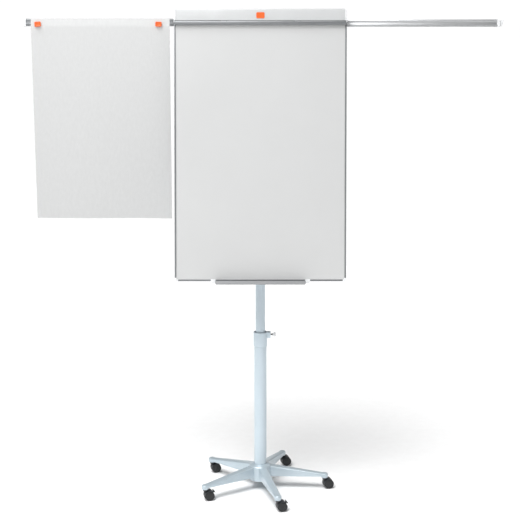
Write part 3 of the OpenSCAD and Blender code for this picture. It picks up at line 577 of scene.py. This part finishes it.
for stem, castor in zip(stems, CASTORS):
    turn = Matrix.Rotation(math.atan2(stem.y, stem.x), 4, "Z")
    machine(hub, placed_copy(leg, castor + "_leg", turn), "UNION")
    machine(hub, start(castor + "_boss", bpy.ops.mesh.primitive_cylinder_add, vertices=48, radius=BOSS,
                       depth=BOSS_HEIGHT, location=(stem.x, stem.y, BOSS_LOW + BOSS_HEIGHT / 2)), "UNION")
bpy.data.objects.remove(leg)
machine(hub, start("tube_bore", bpy.ops.mesh.primitive_cylinder_add, vertices=96, radius=TUBE_BORE, depth=0.1,
                   location=(0, 0, SOCKET_FLOOR + 0.05)), "DIFFERENCE")
only(hub)
bpy.ops.object.shade_smooth_by_angle(angle=math.radians(28))
finished(hub, "base", "base_coat", "star_base")
print("star base", len(hub.data.polygons), "faces")

# %% [markdown]
# ## The wing knob
# The clamp screw ends in a small moulded knob with two round wings. Two short cylinders lie across the
# screw and a stub joins them to it. A voxel remesh melts the three into one skin, and smoothing rounds
# its edges and inner corners, as a mould does.

# %% Wing knob
def cast_together(piece, grain, rounding):
    """Melts overlapping shapes into one skin, and rounds its edges and inner corners."""
    remesh = piece.modifiers.new("one_skin", "REMESH")
    remesh.mode = "VOXEL"
    remesh.voxel_size = grain
    smooth = piece.modifiers.new("rounding", "SMOOTH")
    smooth.factor = 0.5
    smooth.iterations = rounding
    apply_all(piece)
    bpy.ops.object.shade_smooth()


knob_low, knob_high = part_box("wing_knob")
knob_middle = (knob_low + knob_high) / 2
WING = 0.0054
KNOB_GRAIN = 0.0004
KNOB_ROUNDING = 4
wings = [start("wing", bpy.ops.mesh.primitive_cylinder_add, vertices=40, radius=WING, depth=0.0072,
               rotation=(math.radians(90), 0, 0),
               location=(knob_high.x - WING, knob_middle.y, knob_middle.z + side * 0.0051))
         for side in (-1, 1)]
stub = start("stub", bpy.ops.mesh.primitive_cone_add, vertices=40, radius1=0.0054, radius2=0.0036,
             depth=0.009, rotation=(0, math.radians(90), 0),
             location=(knob_low.x + 0.0045, knob_middle.y, knob_middle.z))
knob = joined("wing_knob_moulded", wings + [stub])
cast_together(knob, KNOB_GRAIN, KNOB_ROUNDING)
finished(knob, "clamp_screw", "pale_plastic", "wing_knob")
print("wing knob", len(knob.data.polygons), "faces")

# %% [markdown]
# ## Magnets and badge
# A board magnet is a square plastic cap with round corners and a slightly hollow face, so that a thumb
# finds it. The badge on the header is the same shape, only thin, and is left plain. Each one starts as a
# block. Its corner edges are bevelled first, then its face is inset and lowered, and a bevel modifier
# rounds the rim. All of them lie on the board's slope, so they are turned to it at the end.

# %% Magnets and badge
face_mount = mounts["board_face"]
outward = Vector(face_mount["axis"])
upward = Vector((0, outward.z, -outward.y))
slope = Matrix((Vector((1, 0, 0)), -outward, upward)).transposed().to_4x4()


def cap_on_board(name, node, size, corner, hollow, turn, slot):
    """Models a cap of that width, height and thickness, and lays it where its CAD node is."""
    width, height, thick = size
    cap = start(name, bpy.ops.mesh.primitive_cube_add, size=1, location=(0, 0, thick / 2),
                scale=(width, height, thick))
    corners = cap.data.vertices
    pick(cap, "edges", lambda edge:
         abs(corners[edge.vertices[0]].co.z - corners[edge.vertices[1]].co.z) > thick / 2)
    bpy.ops.mesh.bevel(offset=corner, segments=6)
    pick(cap, "faces", lambda face: face.normal.z > 0.9)
    bpy.ops.mesh.inset(thickness=corner * 0.55)
    bpy.ops.mesh.inset(thickness=corner * 0.25, depth=-hollow)
    bpy.ops.object.mode_set(mode="OBJECT")
    rim = cap.modifiers.new("rim", "BEVEL")
    rim.width = thick * 0.14
    rim.segments = 3
    rim.limit_method = "ANGLE"
    rim.angle_limit = math.radians(40)
    apply_all(cap)
    bpy.ops.object.shade_smooth_by_angle(angle=math.radians(50))
    low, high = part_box(node)
    middle = (low + high) / 2
    lay = Matrix.Rotation(math.radians(turn), 4, "Y") @ Matrix.Rotation(math.radians(90), 4, "X")
    cap.data.transform(Matrix.Translation(middle - outward * thick / 2) @ slope @ lay)
    print(name, len(cap.data.polygons), "faces")
    return finished(cap, body_of[node], slot, node)


MAGNET = (0.0255, 0.0195, 0.0078)
cap_on_board("left_magnet_cap", "left_magnet", MAGNET, 0.004, 0.0006, -4, "orange_plastic")
cap_on_board("right_magnet_cap", "right_magnet", MAGNET, 0.004, 0.0006, 2, "orange_plastic")
cap_on_board("header_badge", "badge", (0.0335, 0.0244, 0.0019), 0.005, 0.0002, 0, "orange_plastic")

# %% [markdown]
# ## The hanging sheet
# One sheet of pad paper hangs from the left arm under two magnets. It lies against the arm's leaning
# face for the arm's height, bends over the lower edge, and then hangs straight down. Paper is stiff along
# its length, so its shape is given directly: a soft bow across its width that grows towards the free lower
# edge, and one corner that lifts a little.

# %% Hanging paper
def hanging_sheet():
    low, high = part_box("paper_sheet")
    width = high.x - low.x
    arm_low, arm_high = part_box("left_arm")
    bend_z = arm_low.z + 0.001
    lean = math.atan2(high.y - low.y, high.z - bend_z)
    across, down = 72, 104
    bpy.ops.object.select_all(action="DESELECT")
    bpy.ops.mesh.primitive_grid_add(x_subdivisions=across, y_subdivisions=down, size=1)
    sheet = bpy.context.object
    sheet.name = "paper_sheet_hung"
    front = low.y + 0.0004
    for vertex in sheet.data.vertices:
        u = vertex.co.x + 0.5
        z = low.z + (vertex.co.y + 0.5) * (high.z - low.z)
        free = max(0.0, (bend_z - z) / (bend_z - low.z))
        bow = 0.0035 * math.sin(math.pi * u) * free ** 1.5
        corner = 0.012 * max(0.0, u - 0.72) ** 2 / 0.08 * free ** 4
        wave = 0.0012 * math.sin(2.0 * math.pi * (u * 1.5 + 0.15)) * free
        above = max(0.0, z - bend_z) * math.tan(lean)
        vertex.co = (low.x + u * width, front + above - bow - corner + wave, z)
    only(sheet)
    solid = sheet.modifiers.new("thickness", "SOLIDIFY")
    solid.thickness = 0.0002
    solid.offset = 0
    apply_all(sheet)
    bpy.ops.object.shade_smooth_by_angle(angle=math.radians(60))
    finished(sheet, "left_arm", "paper", "paper_sheet")


hanging_sheet()
